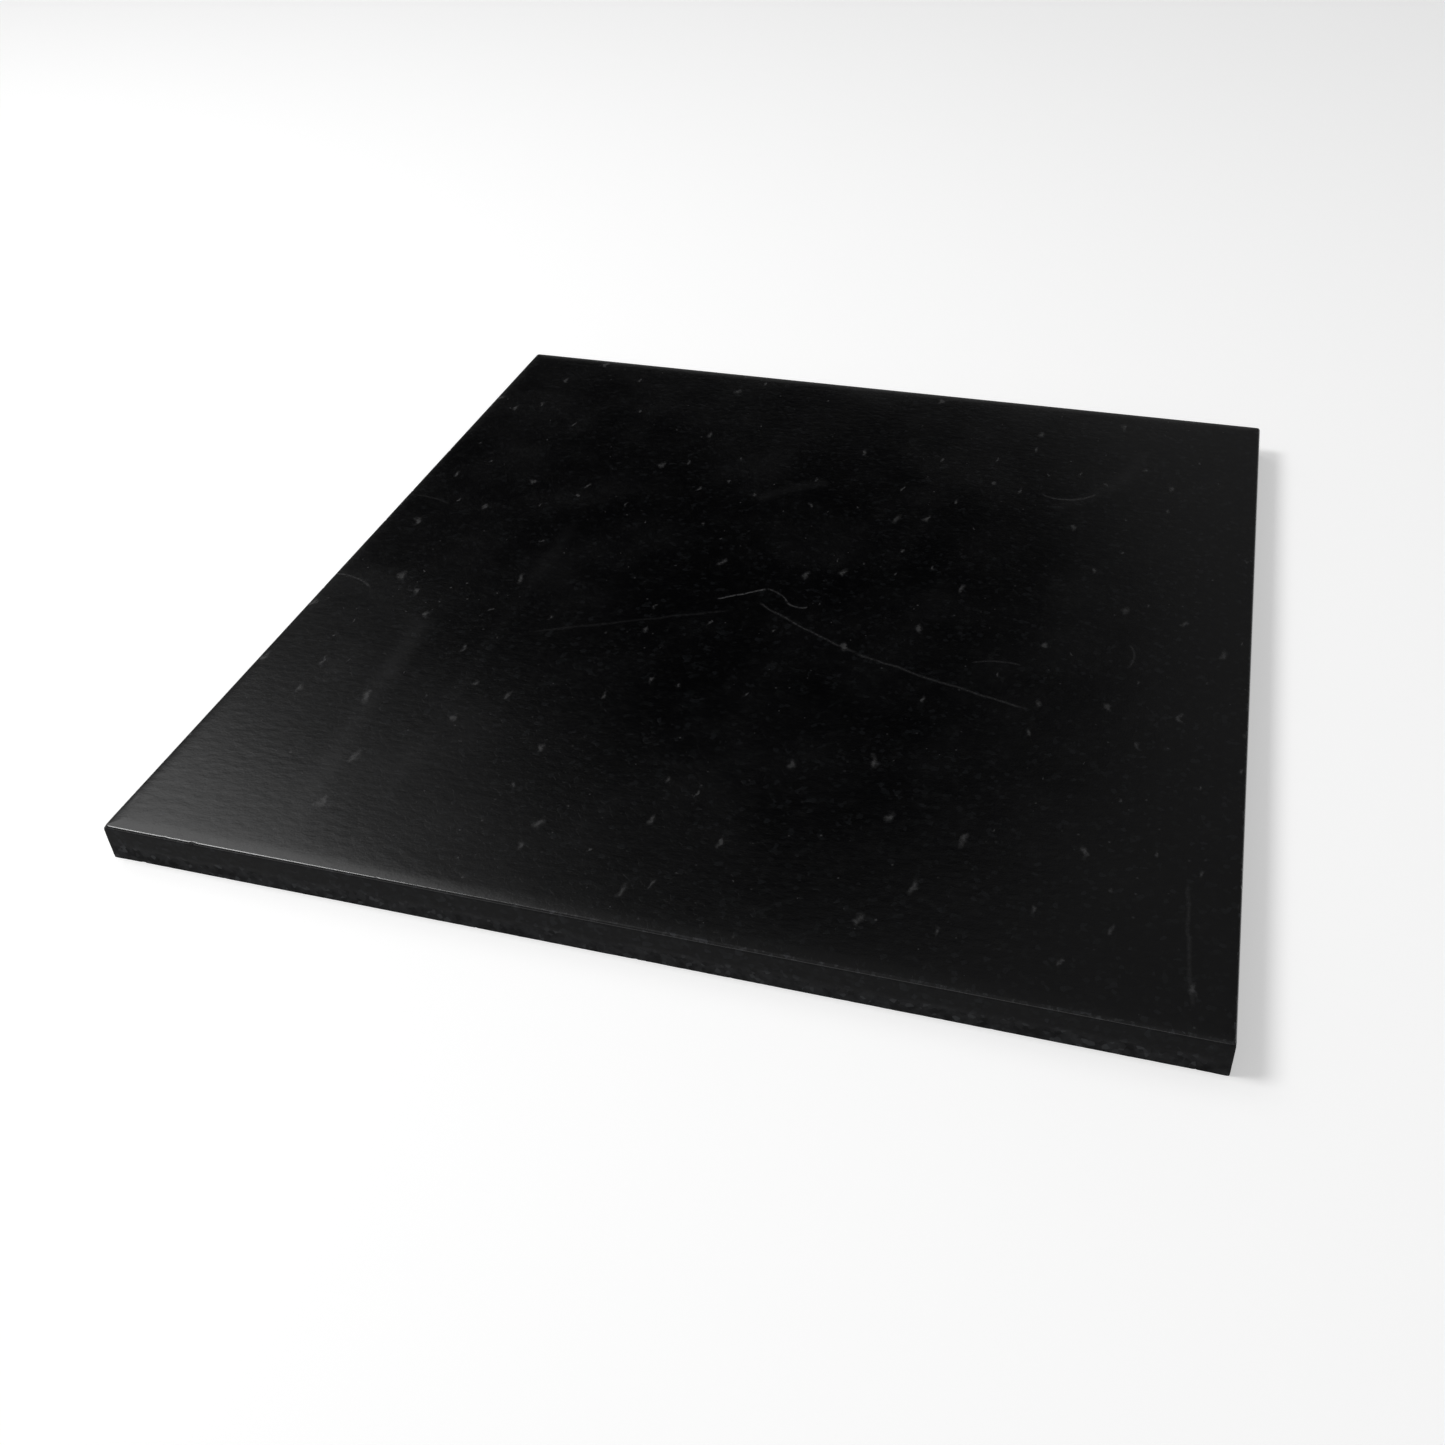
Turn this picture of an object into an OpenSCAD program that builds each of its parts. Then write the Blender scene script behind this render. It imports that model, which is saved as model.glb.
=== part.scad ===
// Leatherworker's slab: one square tile of near-black granite.
// The origin is the middle of the underside, +Z is up and the front edge faces -Y.
// The top face is polished flat and its arris is eased all round.
// Each side has two bands: the upper one was sawn, and the lower one was split off below the
// saw cut, so it stands back a little from the sawn face.

/* [Slab] */
// Width of the slab, left to right
slab_w = 305; // [200:1:450]
// Depth of the slab, front to back
slab_d = 305; // [200:1:450]
// Thickness of the slab
slab_t = 12; // [9:0.5:20]

/* [Edges] */
// Leg of the eased arris round the polished face
arris = 0.8; // [0.3:0.1:1.5]
// Share of the thickness that the saw cut through from the polished side
sawn_share = 0.5; // [0.35:0.05:0.65]
// How far the split stone stands back from the sawn face
split_relief = 0.2; // [0.1:0.1:1]

/* [Colour] */
// Colour of the polished stone
stone_colour = "#151516"; // [#151516:Near black, #2b2c2e:Charcoal, #46484b:Grey]

/* [Hidden] */

// Height of the sawn band, arris included
sawn_h = slab_t * sawn_share;
// Height of the split band below it
split_h = slab_t - sawn_h;
// How far the split band runs up inside the sawn band, so that the two are one solid
root_h = sawn_h / 2;

// Cross-section of the sawn band: straight sides with both top corners eased
module eased_section(width) {
    half = width / 2;
    polygon([
        [-half, 0],
        [half, 0],
        [half, sawn_h - arris],
        [half - arris, sawn_h],
        [-half + arris, sawn_h],
        [-half, sawn_h - arris]
    ]);
}

// A bar along Y with the eased section
module eased_bar(width, length) {
    rotate([90, 0, 0])
        linear_extrude(height = length, center = true)
            eased_section(width);
}

// The sawn band: two crossed bars share one polished face, and their eased corners meet in mitres
module sawn_band() {
    translate([0, 0, split_h])
        intersection() {
            eased_bar(slab_w, slab_d);
            rotate([0, 0, 90])
                eased_bar(slab_d, slab_w);
        }
}

// The split band: the stone under the saw cut, down to the flat underside
module split_band() {
    height = split_h + root_h;
    translate([0, 0, height / 2])
        cube([slab_w - 2 * split_relief, slab_d - 2 * split_relief, height], center = true);
}

// The whole stone, which is one piece
module granite_slab() {
    color(stone_colour)
        union() {
            sawn_band();
            split_band();
        }
}

granite_slab();
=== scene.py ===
# %% [markdown]
# A slab for leatherwork is one square tile of black granite. Leather is laid on its polished
# face to be tooled and stamped, and the weight of the stone takes the blows. This lesson
# starts from the slab's engineering model, which gives the true size and place, and then
# makes the stone that the eye sees: the eased arris, the sawn and split sides, the sawn
# underside, and the wear of the bench on the polish.

# %% Load the slab's frame
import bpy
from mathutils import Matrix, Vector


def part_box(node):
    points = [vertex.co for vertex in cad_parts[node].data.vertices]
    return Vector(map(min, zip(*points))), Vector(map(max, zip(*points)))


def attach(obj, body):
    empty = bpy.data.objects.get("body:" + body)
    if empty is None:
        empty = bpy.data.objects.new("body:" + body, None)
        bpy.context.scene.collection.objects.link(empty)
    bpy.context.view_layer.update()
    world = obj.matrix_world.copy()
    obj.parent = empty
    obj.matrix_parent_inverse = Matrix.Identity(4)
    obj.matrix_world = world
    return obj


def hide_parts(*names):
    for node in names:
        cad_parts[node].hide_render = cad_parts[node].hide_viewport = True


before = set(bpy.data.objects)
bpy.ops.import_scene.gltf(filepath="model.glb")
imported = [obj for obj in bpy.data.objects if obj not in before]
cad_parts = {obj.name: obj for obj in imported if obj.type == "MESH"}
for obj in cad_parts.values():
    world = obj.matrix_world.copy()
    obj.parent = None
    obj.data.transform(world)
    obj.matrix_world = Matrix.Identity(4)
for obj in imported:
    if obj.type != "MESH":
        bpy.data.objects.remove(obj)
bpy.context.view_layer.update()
slab_low, slab_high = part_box("granite_slab")
slab_size = slab_high - slab_low
print("slab, mm:", [round(side * 1000, 2) for side in slab_size])

# %% [markdown]
# Blender's own modules build the rest: bmesh cuts and bevels a mesh, and mathutils has the
# vectors and the noise. Blender works in metres, and a stone is easier to think about in
# millimetres, so lengths are written in millimetres and multiplied by MM. A hundredth of a
# millimetre is small enough to count as touching.

# %% Bring in the tools
import math
import random
import bmesh
import bpy
from mathutils import Matrix, Vector, kdtree, noise

MM = 0.001
TINY = 0.01 * MM
print("touching, mm:", TINY / MM)

# %% [markdown]
# The camera stands a little to the right of the middle and looks down on the polished face
# from about arm's length, as someone at the bench would. It is placed by turning round a
# target on the slab, because an azimuth, an elevation and a distance are easier to think
# about than a position. A small roll and a small lens shift finish the framing.

# %% Place the camera
VIEW_AZIMUTH = math.radians(15.9)
VIEW_ELEVATION = math.radians(35.1)
VIEW_ROLL = math.radians(-1.5)
VIEW_DISTANCE = 518.5 * MM
VIEW_TARGET = Vector((2.6, 12.0, 0.0)) * MM


def direction(azimuth, elevation):
    """Unit vector from the slab to a place round it: azimuth 0 is in front, 90 is to the right."""
    level = math.cos(elevation)
    return Vector((math.sin(azimuth) * level, -math.cos(azimuth) * level, math.sin(elevation)))


camera_data = bpy.data.cameras.new("bench_camera")
camera_data.sensor_width = 36.0
camera_data.lens = 37.5
camera_data.shift_x = -0.052
camera_data.shift_y = -0.083
camera = bpy.data.objects.new("bench_camera", camera_data)
bpy.context.scene.collection.objects.link(camera)
bpy.context.scene.camera = camera

to_camera = direction(VIEW_AZIMUTH, VIEW_ELEVATION)
camera.matrix_world = (
    Matrix.Translation(VIEW_TARGET + to_camera * VIEW_DISTANCE)
    @ (-to_camera).to_track_quat("-Z", "Y").to_matrix().to_4x4()
    @ Matrix.Rotation(VIEW_ROLL, 4, "Z")
)
print("camera at, mm:", [round(part / MM) for part in camera.matrix_world.translation])

# %% [markdown]
# Materials are built from nodes. One helper adds a node, sets its properties and joins its
# inputs, so that each finish further down reads as a list of decisions. A second helper
# turns an sRGB hex colour, the kind picked from a chart, into the linear values that
# Blender mixes.

# %% Make the node and colour helpers


def linear_colour(hex_code):
    """sRGB hex, such as "1b1c1e", to a linear RGBA colour."""
    parts = [int(hex_code[i:i + 2], 16) / 255 for i in (0, 2, 4)]
    return [p / 12.92 if p <= 0.04045 else ((p + 0.055) / 1.055) ** 2.4 for p in parts] + [1.0]


def live_output(node):
    """The first output that a node's settings leave switched on."""
    return next(socket for socket in node.outputs if socket.enabled)


def add_node(tree, kind, inputs=None, **settings):
    """Adds a shader node; inputs takes values, sockets, or nodes, whose first live output counts."""
    node = tree.nodes.new("ShaderNode" + kind)
    for name, value in settings.items():
        setattr(node, name, value)
    for name, value in (inputs or {}).items():
        if isinstance(value, bpy.types.Node):
            value = live_output(value)
        if isinstance(value, bpy.types.NodeSocket):
            tree.links.new(value, node.inputs[name])
        else:
            node.inputs[name].default_value = value
    return node


def new_material(name):
    """An empty node material, with the tree and the Principled shader that a finish drives."""
    material = bpy.data.materials.new(name)
    material.use_nodes = True
    return material, material.node_tree, material.node_tree.nodes["Principled BSDF"]


print("the middle grey 808080 is, as light:", round(linear_colour("808080")[0], 3))

# %% [markdown]
# The slab stands on a plain white table. A little of the table's white is its own light,
# as on a light table, so that it stays pale while the room stays dim enough for the stone
# to keep its black. It lies a hair below the stone, because two faces in one plane leave the
# renderer to guess which is in front.

# %% Lay the table
TABLE_REACH = 6.0
TABLE_GAP = 0.02 * MM

floor_mesh = bpy.data.meshes.new("light_table")
floor_build = bmesh.new()
bmesh.ops.create_grid(floor_build, x_segments=1, y_segments=1, size=TABLE_REACH)
floor_build.to_mesh(floor_mesh)
floor_build.free()
floor = bpy.data.objects.new("light_table", floor_mesh)
floor.location.z = slab_low.z - TABLE_GAP
bpy.context.scene.collection.objects.link(floor)
floor_material, _, floor_shader = new_material("opal_acrylic_sheet")
floor_shader.inputs["Base Color"].default_value = linear_colour("e8e8e8")
floor_shader.inputs["Roughness"].default_value = 0.9
floor_shader.inputs["Emission Color"].default_value = (1.0, 1.0, 1.0, 1.0)
floor_shader.inputs["Emission Strength"].default_value = 0.45
floor_mesh.materials.append(floor_material)
bpy.context.scene.view_settings.view_transform = "Standard"
print("table, m across:", 2 * max(point.co.x for point in floor_mesh.vertices))

# %% [markdown]
# Polished black stone has almost no colour of its own: what the eye reads is the room in its
# polish. One round and very bright pane, to the left and a little in front, draws the thin
# line along the arris. A lamp's power is worked out from how bright it should look, because
# a polished face shows just that.

# %% Set the lamp


def round_lamp(name, azimuth, elevation, distance, width, radiance):
    """A round lamp that faces the slab; radiance is its brightness, with white at 1."""
    light = bpy.data.lights.new(name, "AREA")
    light.shape = "DISK"
    light.size = width
    light.energy = radiance * math.pi * math.pi * (width / 2) ** 2
    lamp = bpy.data.objects.new(name, light)
    bpy.context.scene.collection.objects.link(lamp)
    out = direction(math.radians(azimuth), math.radians(elevation))
    lamp.matrix_world = (
        Matrix.Translation(out * distance) @ out.to_track_quat("Z", "Y").to_matrix().to_4x4()
    )
    print(name, "power, W:", round(light.energy, 2))


round_lamp("bright_pane", -76, 52, 1.50, 0.55, 16.0)

# %% [markdown]
# The rest of the room is a soft grey sky: pale at the horizon, dark at mid height and a
# little paler overhead. Round patches shape it. The window is a patch with a soft edge, because a
# lamp's hard outline would show as a disc in the polish, and the wall round it glows. Two
# dark flags hang where the polished face would mirror the room, so that it stays black. A
# pale fill in front keeps the lower half of the arris from going dark. Each patch is listed
# with its azimuth and elevation, its outer and inner angle, and its strength.

# %% Paint the room
SKY_GREYS = ((0.0, 0.60), (0.20, 0.28), (0.36, 0.12), (0.45, 0.09), (0.72, 0.12), (0.86, 0.15),
             (0.94, 0.20))
DARK_FLAGS = ((-165, 36, 15, 5, 0.03), (-151, 27, 13, 4, 0.12))
WINDOW = (-118, 45, 19, 8, 1.28)
WALL_GLOW = (-118, 45, 25, 13, 0.18)
FRONT_FILL = (-10, 32, 50, 15, 0.13)

world = bpy.data.worlds.new("studio")
bpy.context.scene.world = world
world.use_nodes = True
sky = world.node_tree
gaze = add_node(sky, "TexCoord").outputs["Generated"]
climb = add_node(sky, "SeparateXYZ", {0: gaze}).outputs["Z"]
greys = add_node(sky, "ValToRGB", {0: climb})
stops = greys.color_ramp.elements
for share, grey in SKY_GREYS:
    stop = stops[0] if share == 0.0 else stops.new(share)
    stop.color = (grey, grey, grey, 1.0)
# A new ramp ends with a white stop at 1, which isn't wanted.
stops.remove(stops[-1])


def sky_patch(azimuth, elevation, outer, inner, outside, inside):
    """A round patch of sky that changes from one value to another between two angles."""
    centre = direction(math.radians(azimuth), math.radians(elevation))
    nearness = add_node(sky, "VectorMath", {0: gaze, 1: centre}, operation="DOT_PRODUCT")
    return add_node(
        sky, "MapRange",
        {"Value": nearness,
         "From Min": math.cos(math.radians(outer)), "From Max": math.cos(math.radians(inner)),
         "To Min": outside, "To Max": inside},
        interpolation_type="SMOOTHSTEP",
    )


room = greys
for *where, dimming in DARK_FLAGS:
    flag = sky_patch(*where, 1.0, dimming)
    room = add_node(sky, "Math", {0: room, 1: flag}, operation="MULTIPLY")
GLOWS = (WINDOW, WALL_GLOW, FRONT_FILL)
for *where, brightness in GLOWS:
    glow = sky_patch(*where, 0.0, brightness)
    room = add_node(sky, "Math", {0: room, 1: glow}, operation="ADD")
sky_light = sky.nodes["Background"]
sky_light.inputs["Color"].default_value = (1.0, 1.0, 1.0, 1.0)
sky.links.new(room.outputs[0], sky_light.inputs["Strength"])
print("sky:", len(SKY_GREYS), "greys and", len(DARK_FLAGS) + len(GLOWS), "patches")

# %% [markdown]
# The stone starts as a cube of the slab's own size. Its flat faces are cut into a coarse
# grid, and then two bevels dress it: a wide one eases the rim of the polished face, as a
# hand stone does, and a light one takes the sharpness off the four upright corners. The rim
# goes first, because a wide bevel has no room on the short edges of a rounded corner. The
# bottom edges stay sharp, because they were never dressed.

# %% Block out the stone
CELL = 5.0 * MM
ARRIS = 0.8 * MM
ARRIS_STEPS = 5
UPRIGHT_EASE = 0.3 * MM
UPRIGHT_STEPS = 2
# Faces that turn by more than this many radians meet in a sharp edge.
SHARP = 1.0

stone = bmesh.new()
bmesh.ops.create_cube(stone, size=1.0)
bmesh.ops.scale(stone, vec=slab_size, verts=stone.verts)
bmesh.ops.translate(stone, vec=(slab_low + slab_high) / 2, verts=stone.verts)


def rise(edge):
    """How far an edge climbs from one end to the other."""
    return abs(edge.verts[0].co.z - edge.verts[1].co.z)


level_edges = [edge for edge in stone.edges if rise(edge) < TINY]
cuts = round(slab_size.x / CELL) - 1
bmesh.ops.subdivide_edges(stone, edges=level_edges, cuts=cuts, use_grid_fill=True)


def ease(edges, width, steps):
    """Rounds edges over by width, in so many flat steps."""
    bmesh.ops.bevel(
        stone, geom=edges, offset=width, offset_type="OFFSET", segments=steps,
        profile=0.5, affect="EDGES", material=-1,
    )


rim = [edge for edge in stone.edges
       if edge.calc_face_angle(0.0) > SHARP and min(v.co.z for v in edge.verts) > slab_high.z - TINY]
ease(rim, ARRIS, ARRIS_STEPS)
corners = [edge for edge in stone.edges
           if edge.calc_face_angle(0.0) > SHARP and rise(edge) > slab_size.z / 2]
ease(corners, UPRIGHT_EASE, UPRIGHT_STEPS)
print("blocked out:", len(stone.faces), "faces")

# %% [markdown]
# Chips and split stone need small faces, but only along the sides. A ring is inset just
# inside the rim of each flat face, and the rings and the sides are cut finely: first into
# rows, and then into columns half a millimetre wide. The ring is far wider
# than the upright corners are round, and an even inset would cross over itself there and turn
# faces inside out. So its corner points are set straight in on the diagonal.

# %% Cut the sides finely
RING = 3.0 * MM
RING_CUTS = 3
ROW = 0.66 * MM
COLUMN = 0.5 * MM
LEVEL = 0.999

flats = [face for face in stone.faces if abs(face.normal.z) > LEVEL]
ring_faces = bmesh.ops.inset_region(
    stone, faces=flats, thickness=RING, use_even_offset=True, use_boundary=True
)["faces"]
ring = set(ring_faces)
spokes = [edge for edge in {e for face in ring for e in face.edges}
          if all(face in ring for face in edge.link_faces)]
for spoke in spokes:
    inner, outer = sorted(spoke.verts, key=lambda point: point.co.xy.length)
    if min(abs(outer.co.x), abs(outer.co.y)) > slab_size.x / 2 - UPRIGHT_EASE - TINY:
        inner.co.x = outer.co.x - math.copysign(RING, outer.co.x)
        inner.co.y = outer.co.y - math.copysign(RING, outer.co.y)
bmesh.ops.subdivide_edges(stone, edges=spokes, cuts=RING_CUTS, use_grid_fill=True)

uprights = [edge for edge in stone.edges if rise(edge) > slab_size.z / 2]
bmesh.ops.subdivide_edges(
    stone, edges=uprights, cuts=round(slab_size.z / ROW) - 1, use_grid_fill=True
)


def is_flat_middle(face):
    """True for a face of the coarse grid, which lies inside the rings."""
    place = face.calc_center_median()
    reach = slab_size / 2 - Vector((1, 1, 0)) * (ARRIS + RING)
    return abs(place.x) < reach.x and abs(place.y) < reach.y


shortest_cut = 0.3 * CELL
lengthways = [edge for edge in stone.edges if edge.calc_length() > shortest_cut
              and not all(map(is_flat_middle, edge.link_faces))]
column_cuts = round(CELL / COLUMN) - 1
bmesh.ops.subdivide_edges(stone, edges=lengthways, cuts=column_cuts, use_grid_fill=True)
borders = [face for face in stone.faces if len(face.verts) > 4]
bmesh.ops.triangulate(stone, faces=borders)
print("cut finely:", len(stone.verts), "points,", len(stone.faces), "faces")

# %% [markdown]
# A polishing pad sags over the rim of the stone, so the last few millimetres of the face
# fall away by a fraction of a millimetre. The slope is too slight to see as a shape, but a
# mirror doubles every slope, so the front rim reflects a higher part of the room and shows
# as a soft bright border where the face meets the arris. It is drawn deeper than on most
# stones, because that border is the clearest thing about this edge. The arris is lowered
# with the face, and the side just under it takes up the difference.

# %% Let the polish roll off at the rim
ROLL_OFF = 0.24 * MM
ROLL_REACH = 6.5 * MM
LOWERED_TO = 2.0 * MM
LOWERED_FADE = 1.0 * MM


def smooth_step(value):
    """0 below 0, 1 above 1, and an S-curve between them."""
    value = min(max(value, 0.0), 1.0)
    return value * value * (3.0 - 2.0 * value)


def to_side(place):
    """How far a place lies in from the nearest side."""
    return min(slab_size[axis] / 2 - abs(place[axis]) for axis in (0, 1))


for point in stone.verts:
    rim_share = min(max(1.0 - (to_side(point.co) - ARRIS) / ROLL_REACH, 0.0), 1.0)
    upper = smooth_step((point.co.z - slab_high.z + LOWERED_TO) / LOWERED_FADE)
    point.co.z -= ROLL_OFF * rim_share ** 3 * upper
print("the rim stands lower by, mm:", round(ROLL_OFF / MM, 2))

# %% [markdown]
# Each side was sawn from the polished side down to about half of the thickness, and the
# rest was snapped off. So a side is flat above and broken below, and the line between the
# two wanders, because flakes came away from under the saw cut. The break is made by moving
# the points of the fine mesh inwards: broad hollows, then lumps a few millimetres across,
# then the small facets left by single crystals. It is shallowest at the foot and at the
# corners, which stay almost straight. Nothing moves outwards, so the slab keeps its size.

# %% Split the lower half of the sides
# These lengths are in mm, like the places that the noise is given.
SAWN_DOWN_TO = 5.6
LONG_WANDER = 17.0
SHORT_WANDER = 4.5
LINE_FADE = 2.2
SPLIT_DEPTH = 0.22
SHALLOWEST = 0.02
HOLLOW = 15.0
BUMP = 3.4
FACET = 1.7
FOOT_HEIGHT = 2.0
FOOT_SHARE = 0.35
CORNER_REACH = 7.0
CORNER_SHARE = 0.15
split_layer = stone.verts.layers.float.new("split")


def split_line(place):
    """Height in mm at which the sawn face ends, at this place in mm along a side."""
    slow = noise.noise(place / LONG_WANDER) * 0.9
    quick = noise.noise(place / SHORT_WANDER) * 0.55
    return SAWN_DOWN_TO + slow + quick


def break_depth(place):
    """How far in mm the broken stone lies behind the sawn face."""
    hollows = 0.12 * noise.noise(place / HOLLOW + Vector((7, 3, 1)))
    bumps = 0.08 * noise.fractal(place / BUMP, 1.0, 2.1, 3)
    facets = 0.10 * (noise.voronoi(place / FACET)[0][0] - 0.35)
    foot = FOOT_SHARE + (1.0 - FOOT_SHARE) * smooth_step(place.z / FOOT_HEIGHT)
    from_corner = slab_size.x / 2 / MM - min(abs(place.x), abs(place.y))
    corner = CORNER_SHARE + (1.0 - CORNER_SHARE) * smooth_step(from_corner / CORNER_REACH)
    return max(SPLIT_DEPTH + hollows + bumps + facets, SHALLOWEST) * foot * corner


def inward_pull(point):
    """Pull towards the stone's middle: 1 at a side, and fading out across the ring."""
    pull = Vector((0, 0, 0))
    for axis in (0, 1):
        reach = slab_size[axis] / 2 - abs(point.co[axis])
        pull[axis] = -math.copysign(max(1.0 - reach / RING, 0.0), point.co[axis])
    return pull


for point in stone.verts:
    pull = inward_pull(point)
    if pull.length == 0.0 or point.co.z > slab_size.z - ARRIS - ROLL_OFF - TINY:
        continue
    place = point.co / MM
    along = Vector((place.x, place.y, 0.0))
    split = smooth_step((split_line(along) - place.z) / LINE_FADE)
    point[split_layer] = split
    point.co += pull * split * break_depth(place) * MM
print("points on split stone:", sum(point[split_layer] > 0.5 for point in stone.verts))

# %% [markdown]
# Stone chips wherever an edge is knocked. Small nicks are scattered along the eased arris
# and along the sharp bottom edge, and every corner has lost a little of its point. Each nick
# is a shallow scoop: the points near it are pushed towards the inside of the stone, most in
# the middle of the nick. The random numbers start from a fixed seed, so that the same slab
# comes out each time.

# %% Chip the edges
SMALLEST_NICK = 0.35
NICK_DEPTHS = (0.18, 0.32)
NICK_GRAIN = 0.6
chance = random.Random(12)
points_near = kdtree.KDTree(len(stone.verts))
stone.verts.ensure_lookup_table()
for number, point in enumerate(stone.verts):
    points_near.insert(point.co, number)
points_near.balance()


def chip(centre, inwards, radius, depth):
    """Scoops out a nick; radius and depth are in mm."""
    for spot, number, distance in points_near.find_range(centre, radius * MM):
        near = 1.0 - (distance / (radius * MM)) ** 2
        rough = 1.0 + 0.5 * noise.noise(spot / MM / NICK_GRAIN)
        point = stone.verts[number]
        point.co += inwards.normalized() * near * rough * depth * MM
        point[split_layer] = max(point[split_layer], min(near * 3.0, 1.0))


def chip_side(turn, height, slope, how_many, largest):
    """Scatters nicks along one side; slope is how steeply they cut up or down."""
    for _ in range(how_many):
        run = chance.uniform(-0.995, 0.995) * slab_size.x / 2
        radius = SMALLEST_NICK + (largest - SMALLEST_NICK) * chance.random() ** 4
        centre = turn @ Vector((run, -slab_size.y / 2, 0.0))
        centre.z = height
        inwards = turn @ Vector((0.0, 1.0, slope))
        chip(centre, inwards, radius, radius * chance.uniform(*NICK_DEPTHS))


def chip_corner(turn, height, slope, radius, depth):
    """Takes the point off one corner."""
    centre = turn @ Vector((slab_size.x / 2, slab_size.y / 2, 0.0))
    centre.z = height
    chip(centre, turn @ Vector((-1.0, -1.0, slope)), radius, depth)


rim_height = slab_high.z - ROLL_OFF
for quarter in range(4):
    turn = Matrix.Rotation(quarter * math.pi / 2, 3, "Z")
    chip_side(turn, rim_height - 0.3 * ARRIS, slope=-1.0, how_many=12, largest=0.85)
    chip_side(turn, slab_low.z, slope=1.0, how_many=10, largest=0.9)
    chip_corner(turn, rim_height, slope=-1.2, radius=1.2, depth=0.25)
    chip_corner(turn, slab_low.z, slope=0.8, radius=0.9, depth=0.12)

for point in stone.verts:
    point.co.z = min(max(point.co.z, slab_low.z), slab_high.z)
print("volume, cm3:", round(stone.calc_volume() / MM ** 3 / 1000, 1))

# %% [markdown]
# Every face now gets the finish of the tool that made it: the polished top, the arris eased
# with a hand stone, the sawn and split sides, and the gang-sawn underside. The faces are
# shaded smooth, but the line where the underside meets the break stays sharp.

# %% Sort the faces by finish
NEARLY_LEVEL = 0.9
FOOT = 0.05 * MM
POLISHED, EASED, SIDES, UNDERSIDE = range(4)
for face in stone.faces:
    face.smooth = True
    middle = face.calc_center_median()
    if face.normal.z > NEARLY_LEVEL and to_side(middle) > ARRIS:
        face.material_index = POLISHED
    elif middle.z < slab_low.z + FOOT and face.normal.z < -NEARLY_LEVEL:
        face.material_index = UNDERSIDE
    elif middle.z > slab_high.z - ARRIS:
        face.material_index = EASED
    else:
        face.material_index = SIDES
for edge in stone.edges:
    finishes = {face.material_index for face in edge.link_faces}
    edge.smooth = not (UNDERSIDE in finishes and len(finishes) > 1)

stone_mesh = bpy.data.meshes.new("granite_stone")
stone.to_mesh(stone_mesh)
stone.free()
granite_stone = bpy.data.objects.new("granite_stone", stone_mesh)
bpy.context.scene.collection.objects.link(granite_stone)
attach(granite_stone, "root")
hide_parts("granite_slab")
print("triangles:", sum(len(face.vertices) - 2 for face in stone_mesh.polygons))

# %% [markdown]
# Black granite is a fine-grained rock: mostly black crystals about a millimetre across,
# with a few that are dark grey. All four finishes share its pattern, so it is one function.
# A Voronoi texture gives each crystal a random number, and a colour ramp turns most
# numbers into black and a few into grey. All patterns are measured in millimetres: the
# object coordinates are in metres, so they are scaled up first, and the scale of a texture
# is one over the size of what it draws.

# %% Grow the crystals
CRYSTAL = 1.3
BLACK_GRANITE_IOR = 1.58


def millimetres(tree):
    """The place on the stone, in mm from the middle of its underside."""
    place = add_node(tree, "TexCoord").outputs["Object"]
    return add_node(tree, "VectorMath", {0: place, "Scale": 1 / MM}, operation="SCALE")


def crystals(tree, place, stops):
    """A random number for each crystal, and its colour; stops pair a share with a colour."""
    cells = add_node(tree, "TexVoronoi", {"Vector": place, "Scale": 1 / CRYSTAL})
    pick = add_node(tree, "SeparateColor", {0: cells.outputs["Color"]})
    colours = add_node(tree, "ValToRGB", {0: pick})
    shades = colours.color_ramp.elements
    shades[0].color = linear_colour(stops[0][1])
    shades[1].color = linear_colour(stops[-1][1])
    for share, hex_code in stops[1:-1]:
        shades.new(share).color = linear_colour(hex_code)
    return pick, colours


print("crystals, mm across:", CRYSTAL)

# %% [markdown]
# Tools dragged over the polish leave pale lines. Each line is an arc through three places
# on the face, given in mm from its middle: x to the right, and y to the back. In the nodes
# an arc is a ring of the right radius, kept only near its middle place. The three places
# must not be in one straight line, because no circle goes through them then.

# %% Draw one mark as an arc
top_mm = slab_high.z / MM


def circle_through(a, b, c):
    """Centre and radius of the circle through three places."""
    twice = 2 * (a.x * (b.y - c.y) + b.x * (c.y - a.y) + c.x * (a.y - b.y))
    aa, bb, cc = a.length_squared, b.length_squared, c.length_squared
    centre = Vector((
        (aa * (b.y - c.y) + bb * (c.y - a.y) + cc * (a.y - b.y)) / twice,
        (aa * (c.x - b.x) + bb * (a.x - c.x) + cc * (b.x - a.x)) / twice,
    ))
    return centre, (a - centre).length


def arc_mark(tree, place, start, middle, end, width, strength):
    """Mask of an arc that is width mm wide and fades out at its ends."""
    start, middle, end = Vector(start), Vector(middle), Vector(end)
    centre, radius = circle_through(start, middle, end)
    from_centre = add_node(tree, "VectorMath", {0: place, 1: (*centre, top_mm)}, operation="DISTANCE")
    beside = add_node(tree, "Math", {0: from_centre, 1: radius}, operation="SUBTRACT")
    beside = add_node(tree, "Math", {0: beside}, operation="ABSOLUTE")
    line = add_node(
        tree, "MapRange",
        {"Value": beside, "From Max": width / 2, "To Min": strength, "To Max": 0.0},
        interpolation_type="SMOOTHSTEP",
    )
    reach = max((middle - start).length, (middle - end).length)
    from_middle = add_node(tree, "VectorMath", {0: place, 1: (*middle, top_mm)}, operation="DISTANCE")
    fade = add_node(
        tree, "MapRange",
        {"Value": from_middle, "From Min": 0.85 * reach, "From Max": reach,
         "To Min": 1.0, "To Max": 0.0},
        interpolation_type="SMOOTHSTEP",
    )
    return add_node(tree, "Math", {0: line, 1: fade}, operation="MULTIPLY")


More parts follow.
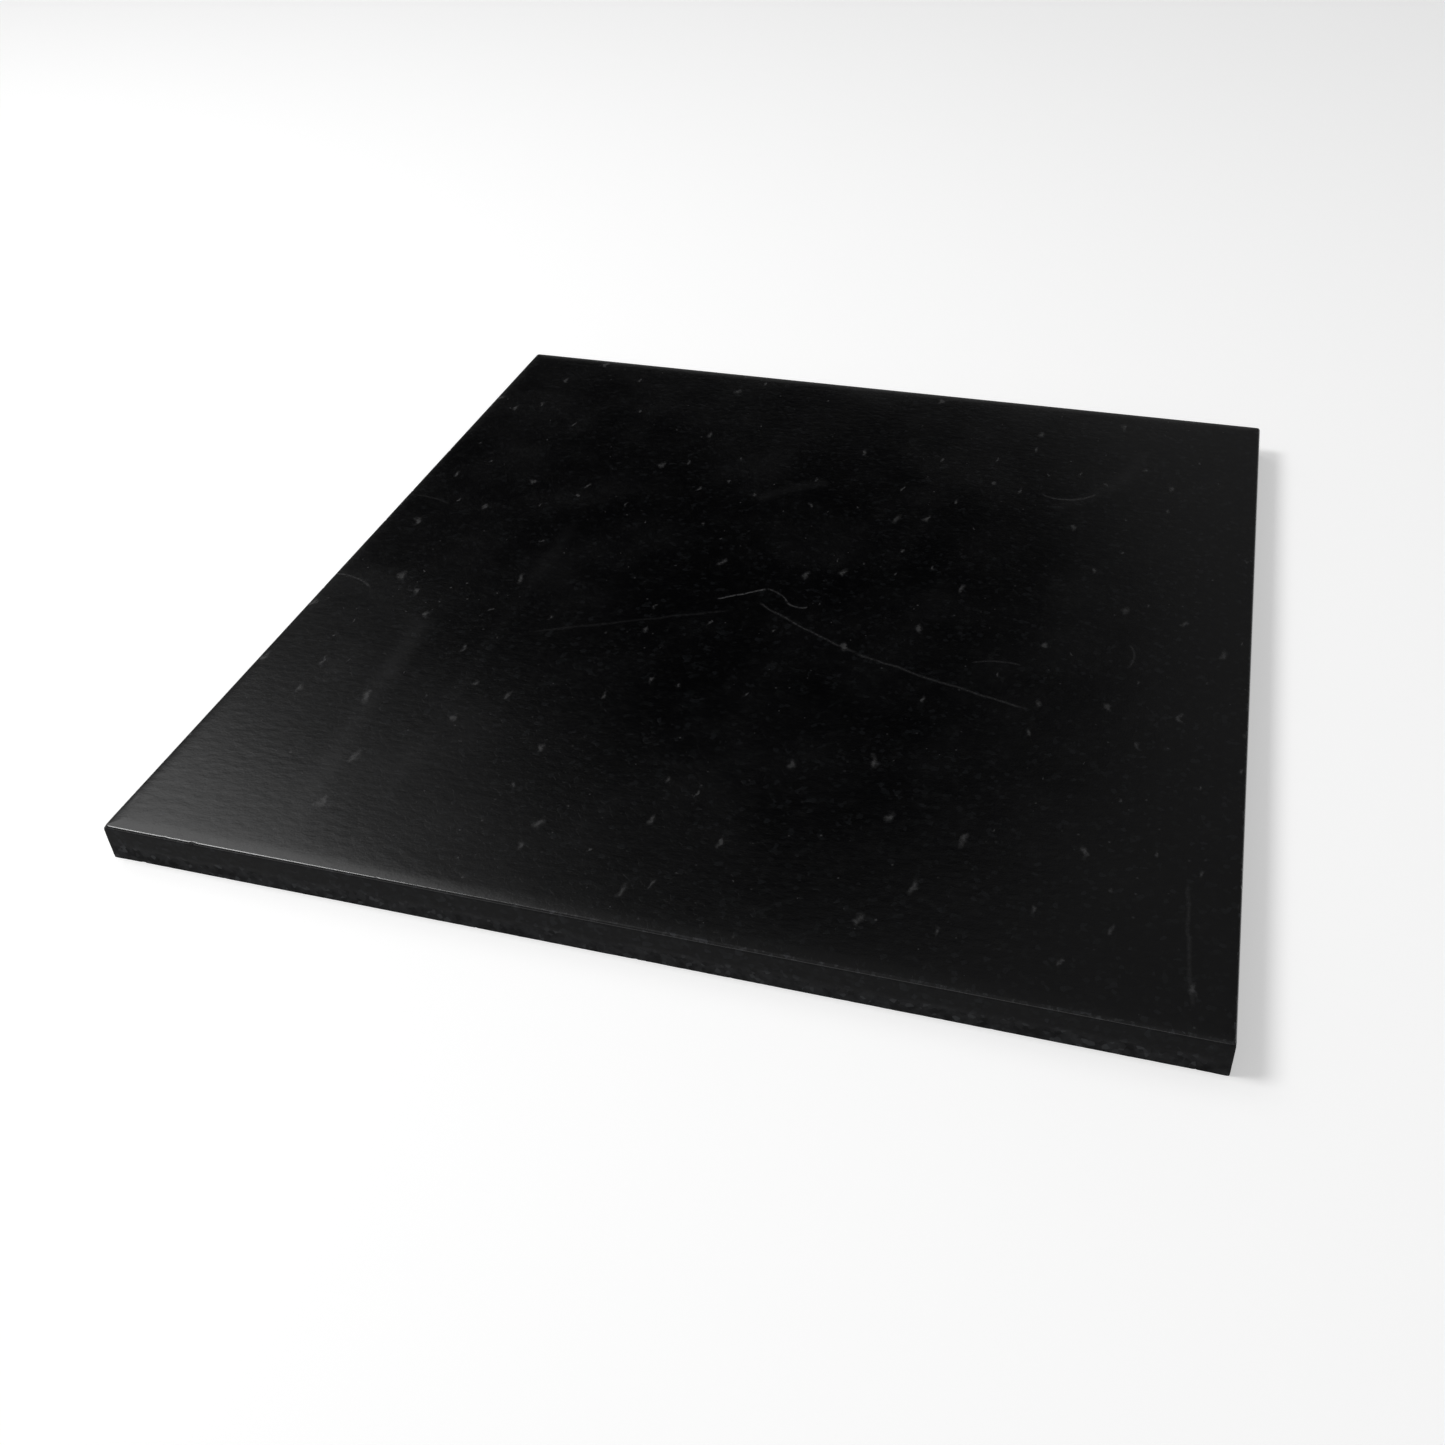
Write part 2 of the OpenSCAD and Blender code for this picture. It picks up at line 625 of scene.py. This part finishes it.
def all_marks(tree, place, marks):
    """One mask that holds every arc of a list."""
    mask = 0.0
    for mark in marks:
        arc = arc_mark(tree, place, *mark)
        mask = add_node(tree, "Math", {0: mask, 1: arc}, operation="MAXIMUM")
    return mask


print("marks lie at a height of, mm:", round(top_mm, 2))

# %% [markdown]
# These are the marks that give this slab its history: a sharp slip of a tool near the
# middle, one long drag to the right of it, a few fainter ones, and wide dull smears where
# oily hands and leather wiped the polish. Each line gives the arc's start, middle and end,
# its width and its strength.

# %% List the drags and the smears
DRAGS = (
    ((-19, -8), (-12, -4), (-5, 1), 1.3, 1.00),
    ((-5, 1), (0, -1), (4, -5), 1.3, 0.50),
    ((4, -5), (7, -7), (11, -6), 1.4, 0.60),
    ((-4, -8), (13, -18), (33, -27), 1.5, 0.36),
    ((32, -27), (60, -35), (89, -42), 1.6, 0.34),
    ((-74, -41), (-43, -27), (-16, -15), 1.9, 0.15),
    ((-151, -24), (-144, -25), (-136, -29), 1.6, 0.34),
    ((-151, 30), (-143, 30), (-134, 27), 1.6, 0.16),
    ((76, 83), (87, 81), (94, 85), 1.7, 0.42),
    ((115, -3), (117, -9), (116, -15), 1.2, 0.30),
    ((69, -23), (76, -21), (84, -21), 1.3, 0.28),
    ((139, -103), (140, -124), (142, -145), 1.8, 0.26),
)
SMEARS = (
    ((-24, 56), (-14, 66), (-1, 74), 9.0, 0.20),
    ((93, 84), (101, 95), (110, 124), 10.0, 0.16),
    ((-109, -52), (-106, -95), (-100, -151), 13.0, 0.24),
    ((-84, 26), (-83, -60), (-80, -151), 9.0, 0.08),
)
print(len(DRAGS), "drags and", len(SMEARS), "smears")

# %% [markdown]
# The polished face is black crystal ground flat and buffed: a mirror with very little
# colour. Whatever lies on the polish scatters light, so wherever a mark is, the colour is
# greyer and the gloss is duller. Each kind of mark is a mask first. A little noise bends
# the place that the arcs are measured from, so that no drag looks drawn with a compass.

# %% Wear the polish
DRAG_BEND = 2.0

polished, tree, shader = new_material("polished_black_granite")
place = millimetres(tree)
wander = add_node(tree, "TexNoise", {"Vector": place, "Scale": 1 / 9.0, "Detail": 3.0})
bend = add_node(
    tree, "VectorMath", {0: wander.outputs["Color"], 1: (0.5, 0.5, 0.5)}, operation="SUBTRACT"
)
bent_place = add_node(
    tree, "VectorMath", {0: bend, 1: (DRAG_BEND, DRAG_BEND, 0.0), 2: place},
    operation="MULTIPLY_ADD",
)
grit = add_node(tree, "TexNoise", {"Vector": place, "Scale": 1 / 1.1, "Detail": 2.0})
skips = add_node(
    tree, "MapRange", {"Value": grit, "From Min": 0.30, "From Max": 0.62, "To Min": 0.35}
)
drags = add_node(
    tree, "Math", {0: all_marks(tree, bent_place, DRAGS), 1: skips}, operation="MULTIPLY"
)
smears = all_marks(tree, bent_place, SMEARS)
print(polished.name, "has", len(tree.nodes), "nodes so far")

# %% [markdown]
# A scuff is a short torn stroke, where a stamp or a burr slipped. Scuffs and dust fall
# anywhere, so they aren't listed: a flat Voronoi texture has one scuff in some of its cells,
# and another has one dust speck in some of its own. The scuffs' cells are stretched from
# front to back, the way that a hand pulls, and noise tears their outlines. A cell's random
# number sets how large its scuff or its speck is, and many cells get none. Dust settles
# unevenly, and it is drawn about half a millimetre across, coarser than real, so that it shows.

# %% Scatter the scuffs and the dust
SCUFF_CELL = 10.5
SCUFF_STRETCH = 2.3
SCUFF_TEAR = 6.0
SCUFF_STRENGTH = 0.75
DUST_CELL = 4.2


def scattered_spots(tree, place, cell, rarest, largest):
    """Round spots in some cells of a flat Voronoi texture; largest is a share of the cell."""
    cells = add_node(
        tree, "TexVoronoi", {"Vector": place, "Scale": 1 / cell}, voronoi_dimensions="2D"
    )
    pick = add_node(tree, "SeparateColor", {0: cells.outputs["Color"]})
    reach = add_node(
        tree, "MapRange", {"Value": pick, "From Min": rarest, "To Min": 0.0, "To Max": largest}
    )
    return add_node(
        tree, "MapRange",
        {"Value": cells.outputs["Distance"], "From Min": reach, "From Max": 0.0},
        interpolation_type="SMOOTHSTEP",
    )


torn = add_node(tree, "TexNoise", {"Vector": place, "Scale": 1 / 5.0, "Detail": 4.0})
torn_place = add_node(
    tree, "VectorMath", {0: torn.outputs["Color"], 1: (SCUFF_TEAR, SCUFF_TEAR, 0.0), 2: place},
    operation="MULTIPLY_ADD",
)
pulled = add_node(
    tree, "VectorMath", {0: torn_place, 1: (1.0, 1 / SCUFF_STRETCH, 1.0)}, operation="MULTIPLY"
)
strokes = scattered_spots(tree, pulled, SCUFF_CELL, rarest=0.40, largest=0.15)
scuffs = add_node(tree, "Math", {0: strokes, 1: skips}, operation="MULTIPLY")
scuffs = add_node(tree, "Math", {0: scuffs, 1: SCUFF_STRENGTH}, operation="MULTIPLY")
specks = scattered_spots(tree, place, DUST_CELL, rarest=0.84, largest=0.15)
settling = add_node(tree, "TexNoise", {"Vector": place, "Scale": 1 / 22.0, "Detail": 2.0})
settled = add_node(
    tree, "MapRange", {"Value": settling, "From Min": 0.40, "From Max": 0.65, "To Max": 0.70}
)
dust = add_node(tree, "Math", {0: specks, 1: settled}, operation="MULTIPLY")

powder_noise = add_node(tree, "TexNoise", {"Vector": place, "Scale": 1 / 4.0, "Detail": 4.0})
powder = add_node(
    tree, "MapRange",
    {"Value": powder_noise, "From Min": 0.54, "From Max": 0.76, "To Max": 0.04},
)
print("scuff and dust cells, mm:", SCUFF_CELL, DUST_CELL)

# %% [markdown]
# The masks are added up and drive two sockets. The colour goes from the crystal's own
# near-black towards grey, and the roughness goes from a clear mirror towards satin. A film
# of oil from the leather and the hands lies over it in soft clouds a few centimetres wide.
# The crystals also differ a little in hardness, so the buff leaves them a few thousandths of a
# millimetre high or low, and the mirror breaks up over them. The slower ripple comes from the
# buff itself, and it mottles the window's reflection at the front left.

# %% Polish the face
SMEAR_GREY = 0.35
WORN_ROUGHNESS = 0.35
GRAIN_HEIGHT = 1.5
RIPPLE_HEIGHT = 6.0


def dress_stone(material, tree, shader, colour, roughness, relief):
    """Joins a finish to its shader's sockets, and gives it to the stone."""
    for name, node in (("Base Color", colour), ("Roughness", roughness), ("Normal", relief)):
        tree.links.new(live_output(node), shader.inputs[name])
    shader.inputs["IOR"].default_value = BLACK_GRANITE_IOR
    stone_mesh.materials.append(material)
    print(material.name, "has", len(tree.nodes), "nodes")


pick, stone_colour = crystals(tree, place, (
    (0.0, "020203"), (0.78, "030304"), (0.92, "08090a"), (1.0, "111214")))
faint_smears = add_node(tree, "Math", {0: smears, 1: SMEAR_GREY}, operation="MULTIPLY")
clouds = add_node(tree, "TexNoise", {"Vector": place, "Scale": 1 / 30.0, "Detail": 4.0})
film = add_node(
    tree, "MapRange", {"Value": clouds, "From Min": 0.46, "From Max": 0.72, "To Max": 0.025}
)
scattering = 0.0
for layer in (drags, scuffs, dust, powder, faint_smears, film):
    scattering = add_node(tree, "Math", {0: scattering, 1: layer}, operation="ADD")
# A Mix node holds sockets for every type: 0 is the share, and 6 and 7 are the two colours.
worn_colour = add_node(
    tree, "Mix", {0: scattering, 6: stone_colour, 7: linear_colour("3c3c3d")}, data_type="RGBA"
)
haze = add_node(
    tree, "MapRange",
    {"Value": clouds, "From Min": 0.30, "From Max": 0.70, "To Min": 0.13, "To Max": 0.19},
)
haze = add_node(
    tree, "Math", {0: scattering, 1: WORN_ROUGHNESS, 2: haze}, operation="MULTIPLY_ADD"
)
fine = add_node(tree, "TexNoise", {"Vector": place, "Scale": 1 / 0.6, "Detail": 2.0})
buffed = add_node(tree, "Math", {0: fine, 1: GRAIN_HEIGHT, 2: pick}, operation="MULTIPLY_ADD")
swept = add_node(tree, "VectorMath", {0: place, 1: (1 / 4.5, 1 / 2.4, 1.0)}, operation="MULTIPLY")
ripple = add_node(tree, "TexNoise", {"Vector": swept, "Scale": 1.0, "Detail": 3.0})
buffed = add_node(
    tree, "Math", {0: ripple, 1: RIPPLE_HEIGHT, 2: buffed}, operation="MULTIPLY_ADD"
)
buffed = add_node(tree, "Bump", {"Height": buffed, "Distance": 0.006 * MM})
dress_stone(polished, tree, shader, worn_colour, haze, buffed)

# %% [markdown]
# The arris was eased by hand with a diamond stone, and only part of its polish came back.
# It is the same stone, a little greyer and a little rougher, and it turns pale where it has
# been nicked. It catches the bright pane as a thin line, which is what draws the edge.

# %% Ease the arris
eased, tree, shader = new_material("hand_eased_black_granite")
place = millimetres(tree)
stone_colour = crystals(tree, place, (
    (0.0, "0a0a0b"), (0.70, "101011"), (0.90, "1a1b1d"), (1.0, "2c2d30")))[1]
rubs = add_node(tree, "TexNoise", {"Vector": place, "Scale": 1 / 1.6, "Detail": 3.0})
rubbed = add_node(tree, "MapRange", {"Value": rubs, "From Min": 0.55, "From Max": 0.70})
nicked = add_node(tree, "Attribute", attribute_name="split").outputs["Fac"]
worn = add_node(tree, "Math", {0: nicked, 1: rubbed}, operation="MAXIMUM")
greying = add_node(tree, "Math", {0: worn, 1: 0.30}, operation="MULTIPLY")
eased_colour = add_node(
    tree, "Mix", {0: greying, 6: stone_colour, 7: linear_colour("4a4b4d")}, data_type="RGBA"
)
eased_gloss = add_node(tree, "MapRange", {"Value": worn, "To Min": 0.22, "To Max": 0.26})
fine = add_node(tree, "TexNoise", {"Vector": place, "Scale": 1 / 0.8, "Detail": 3.0})
eased_relief = add_node(tree, "Bump", {"Height": fine, "Distance": 0.003 * MM})
shader.inputs["Specular IOR Level"].default_value = 0.40
dress_stone(eased, tree, shader, eased_colour, eased_gloss, eased_relief)

# %% [markdown]
# The sides carry two finishes with a wandering line between them, so they are one material
# that reads the mesh's own "split" value: 0 on sawn stone and 1 on broken stone. Sawing
# leaves the stone matt and almost black, with fine lines along the side. Breaking leaves it
# rough and a little paler, with bruised patches and a few crystals that flash. Both are full
# of tiny pores that swallow most of the gloss, so the specular level is low.

# %% Saw and split the sides
sides, tree, shader = new_material("sawn_and_split_black_granite")
place = millimetres(tree)
split = add_node(tree, "Attribute", attribute_name="split").outputs["Fac"]
sawn_colour = crystals(tree, place, (
    (0.0, "0a0a0b"), (0.60, "0e0e0f"), (0.88, "131415"), (1.0, "1b1c1e")))[1]
broken_pick, broken_colour = crystals(tree, place, (
    (0.0, "121213"), (0.45, "19191a"), (0.85, "202021"), (1.0, "2e2f31")))
# Saw lines run the length of a side, so this noise is stretched 40 mm long and 0.5 mm tall.
stretched = add_node(
    tree, "VectorMath", {0: place, 1: (1 / 40, 1 / 40, 1 / 0.5)}, operation="MULTIPLY"
)
saw_lines = add_node(tree, "TexNoise", {"Vector": stretched, "Scale": 1.0, "Detail": 2.0})
lining = add_node(
    tree, "MapRange", {"Value": saw_lines, "From Min": 0.35, "From Max": 0.70, "To Max": 0.07}
)
lined = add_node(
    tree, "Mix", {0: lining, 6: sawn_colour, 7: linear_colour("353637")}, data_type="RGBA"
)
blows = add_node(tree, "TexNoise", {"Vector": place, "Scale": 1 / 3.4, "Detail": 4.0})
bruising = add_node(
    tree, "MapRange", {"Value": blows, "From Min": 0.38, "From Max": 0.68, "To Max": 0.24}
)
bruised = add_node(
    tree, "Mix", {0: bruising, 6: broken_colour, 7: linear_colour("3e3f41")}, data_type="RGBA"
)
side_colour = add_node(tree, "Mix", {0: split, 6: lined, 7: bruised}, data_type="RGBA")

sawn_gloss = add_node(
    tree, "MapRange", {"Value": saw_lines, "From Min": 0.3, "From Max": 0.7,
                       "To Min": 0.42, "To Max": 0.55})
broken_gloss = add_node(
    tree, "MapRange", {"Value": broken_pick, "From Min": 0.90, "From Max": 0.96,
                       "To Min": 0.72, "To Max": 0.48})
side_gloss = add_node(
    tree, "MapRange", {"Value": split, "To Min": sawn_gloss, "To Max": broken_gloss}
)
grains = add_node(tree, "TexNoise", {"Vector": place, "Scale": 1 / 0.9, "Detail": 3.0})
rugged = add_node(tree, "Math", {0: broken_pick, 1: grains}, operation="ADD")
rugged = add_node(tree, "Math", {0: rugged, 1: split}, operation="MULTIPLY")
side_height = add_node(tree, "Math", {0: rugged, 1: 3.0, 2: saw_lines}, operation="MULTIPLY_ADD")
side_relief = add_node(tree, "Bump", {"Height": side_height, "Distance": 0.012 * MM})
shader.inputs["Specular IOR Level"].default_value = 0.04
dress_stone(sides, tree, shader, side_colour, side_gloss, side_relief)

# %% [markdown]
# The underside is as the gang saw left it: matt grey-black, with straight saw marks a
# couple of millimetres apart and a little pale slurry dried in them. Nobody looks at it in
# use, but it is what the slab shows when it is lifted.

# %% Saw the underside
underside, tree, shader = new_material("gang_sawn_black_granite")
place = millimetres(tree)
stone_colour = crystals(tree, place, (
    (0.0, "18181a"), (0.60, "1f2021"), (0.88, "2a2b2d"), (1.0, "3a3b3e")))[1]
stretched = add_node(
    tree, "VectorMath", {0: place, 1: (1 / 150, 1 / 2.2, 1.0)}, operation="MULTIPLY"
)
saw_marks = add_node(tree, "TexNoise", {"Vector": stretched, "Scale": 1.0, "Detail": 3.0})
grooves = add_node(tree, "MapRange", {"Value": saw_marks, "From Min": 0.50, "From Max": 0.72})
drying = add_node(tree, "TexNoise", {"Vector": place, "Scale": 1 / 38.0, "Detail": 3.0})
dried = add_node(
    tree, "MapRange", {"Value": drying, "From Min": 0.38, "From Max": 0.62,
                       "To Min": 0.15, "To Max": 0.7})
slurry = add_node(tree, "Math", {0: grooves, 1: dried}, operation="MULTIPLY")
underside_colour = add_node(
    tree, "Mix", {0: slurry, 6: stone_colour, 7: linear_colour("5a5b5c")}, data_type="RGBA"
)
underside_gloss = add_node(tree, "MapRange", {"Value": slurry, "To Min": 0.48, "To Max": 0.75})
grains = add_node(tree, "TexNoise", {"Vector": place, "Scale": 1 / 0.8, "Detail": 3.0})
sawn_height = add_node(tree, "Math", {0: grains, 1: 0.4, 2: saw_marks}, operation="MULTIPLY_ADD")
underside_relief = add_node(tree, "Bump", {"Height": sawn_height, "Distance": 0.06 * MM})
shader.inputs["Specular IOR Level"].default_value = 0.2
dress_stone(underside, tree, shader, underside_colour, underside_gloss, underside_relief)
print("finishes:", [material.name for material in stone_mesh.materials])
